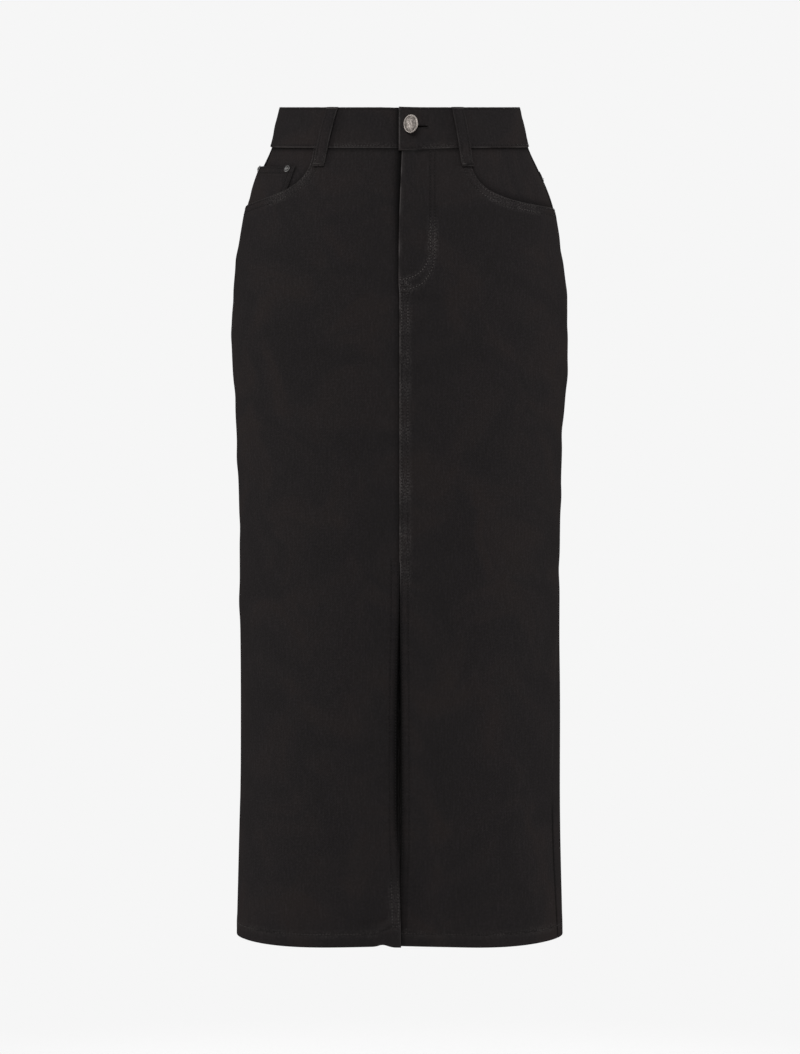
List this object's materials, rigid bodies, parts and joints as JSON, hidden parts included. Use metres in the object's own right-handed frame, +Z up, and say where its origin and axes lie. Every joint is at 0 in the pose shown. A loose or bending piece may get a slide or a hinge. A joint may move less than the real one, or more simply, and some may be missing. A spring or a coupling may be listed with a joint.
{
  "type": "denim skirt",
  "caption": "Long narrow denim skirt in a jeans cut: fly and button, scooped front pockets, coin pocket, back yoke, belt loops and a centre front slit; stands open and hollow as worn.",
  "frame": {"origin": "middle of the waist opening, halfway up the waistband at the sides, where the wearer's waist holds the skirt", "axes": "+Z up, -Y towards the front of the skirt, +X towards the wearer's left"},
  "size_m": [0.3526, 0.2421, 0.8761],
  "materials": {
    "denim": "washed black denim, matt",
    "zip_tape": "woven tape, matt",
    "metal": "worn silver-coloured metal"
  },
  "bodies": {
    "root": {"front_left": "denim", "front_right": "denim", "back_left": "denim", "back_right": "denim", "yoke_left": "denim", "yoke_right": "denim", "pocket_facing_left": "denim", "pocket_facing_right": "denim", "coin_pocket": "denim", "waistband": "denim", "belt_loop_front_left": "denim", "belt_loop_front_right": "denim", "belt_loop_side_left": "denim", "belt_loop_side_right": "denim", "belt_loop_back": "denim", "zip": "zip_tape", "button": "metal", "coin_rivet_1": "metal", "coin_rivet_2": "metal"}
  },
  "joints": []
}
